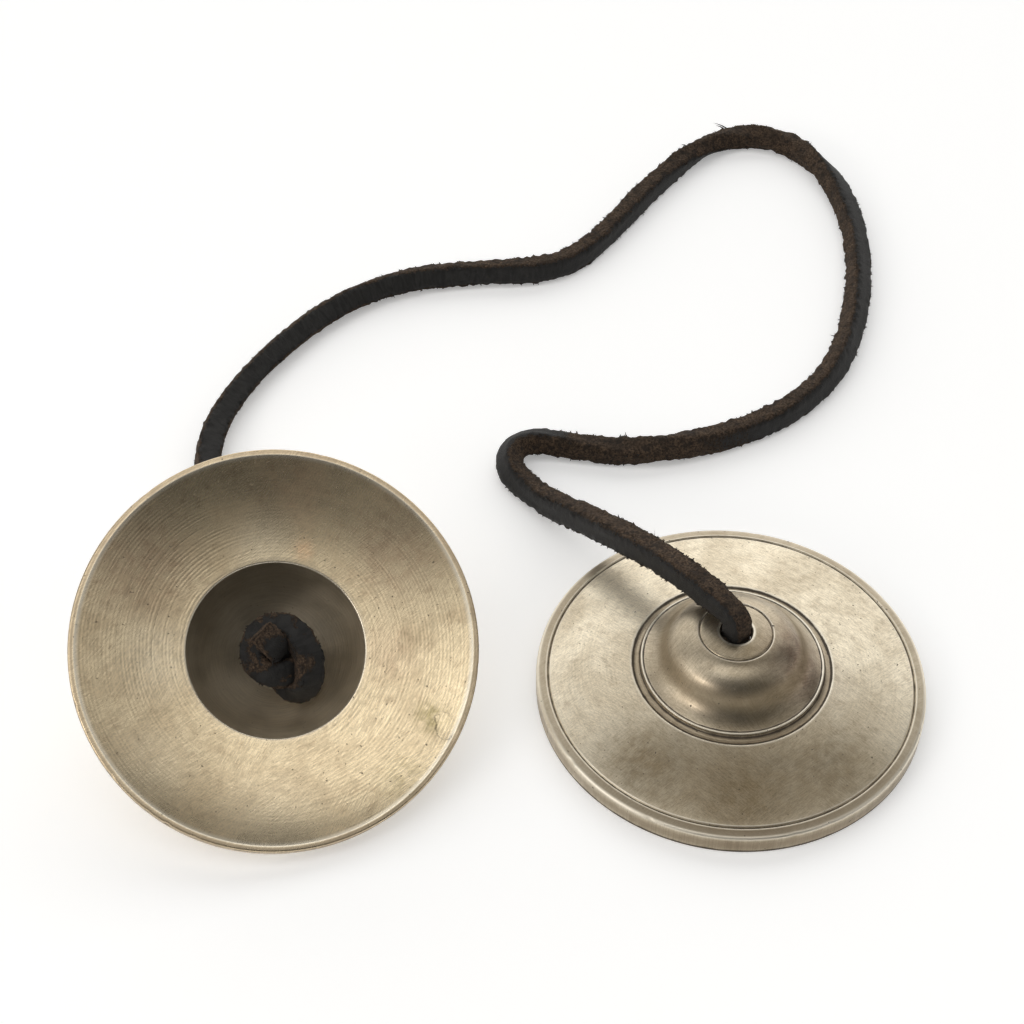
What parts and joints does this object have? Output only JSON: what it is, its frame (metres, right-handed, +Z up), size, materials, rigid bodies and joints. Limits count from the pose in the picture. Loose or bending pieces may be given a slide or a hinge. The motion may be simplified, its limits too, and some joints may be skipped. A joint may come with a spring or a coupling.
{
  "type": "tingsha cymbals",
  "caption": "Pair of small cast bell-metal cymbals with domed bosses, joined by a leather thong knotted inside each boss; struck rim to rim so that they ring.",
  "frame": {"origin": "on the floor, under the middle of the box round the two cymbals", "axes": "+X from the boss-down cymbal towards the boss-up one, -Y towards the front, +Z up"},
  "size_m": [0.1445, 0.1891, 0.035],
  "materials": {
    "bell_metal": "turned, brushed and worn satin",
    "leather": "worn matt, suede on the flesh side"
  },
  "bodies": {
    "right_cymbal": {"right_cymbal": "bell_metal"},
    "right_knot": {"right_knot": "leather"},
    "thong": {"thong": "leather"},
    "left_knot": {"left_knot": "leather"},
    "left_cymbal": {"left_cymbal": "bell_metal"}
  },
  "joints": [
    {"name": "right_swivel", "type": "hinge", "parent": "right_cymbal", "child": "right_knot", "pos_m": [0.037, 0.00115, 0.01835], "axis": [0, 0, 1], "continuous": true},
    {"name": "cord_lift", "type": "hinge", "parent": "right_knot", "child": "thong", "pos_m": [0.037, 0.00115, 0.01835], "axis": [0.7934, 0.6088, 0], "range_deg": [0, 70]},
    {"name": "left_rock", "type": "hinge", "parent": "thong", "child": "left_knot", "pos_m": [-0.0398, 0.00395, 0.0023], "axis": [-0.9511, -0.309, 0], "range_deg": [0, 42]},
    {"name": "left_spin", "type": "hinge", "parent": "left_knot", "child": "left_cymbal", "pos_m": [-0.0398, 0.00395, 0.0023], "axis": [0.1519, -0.4674, 0.8709], "continuous": true}
  ]
}
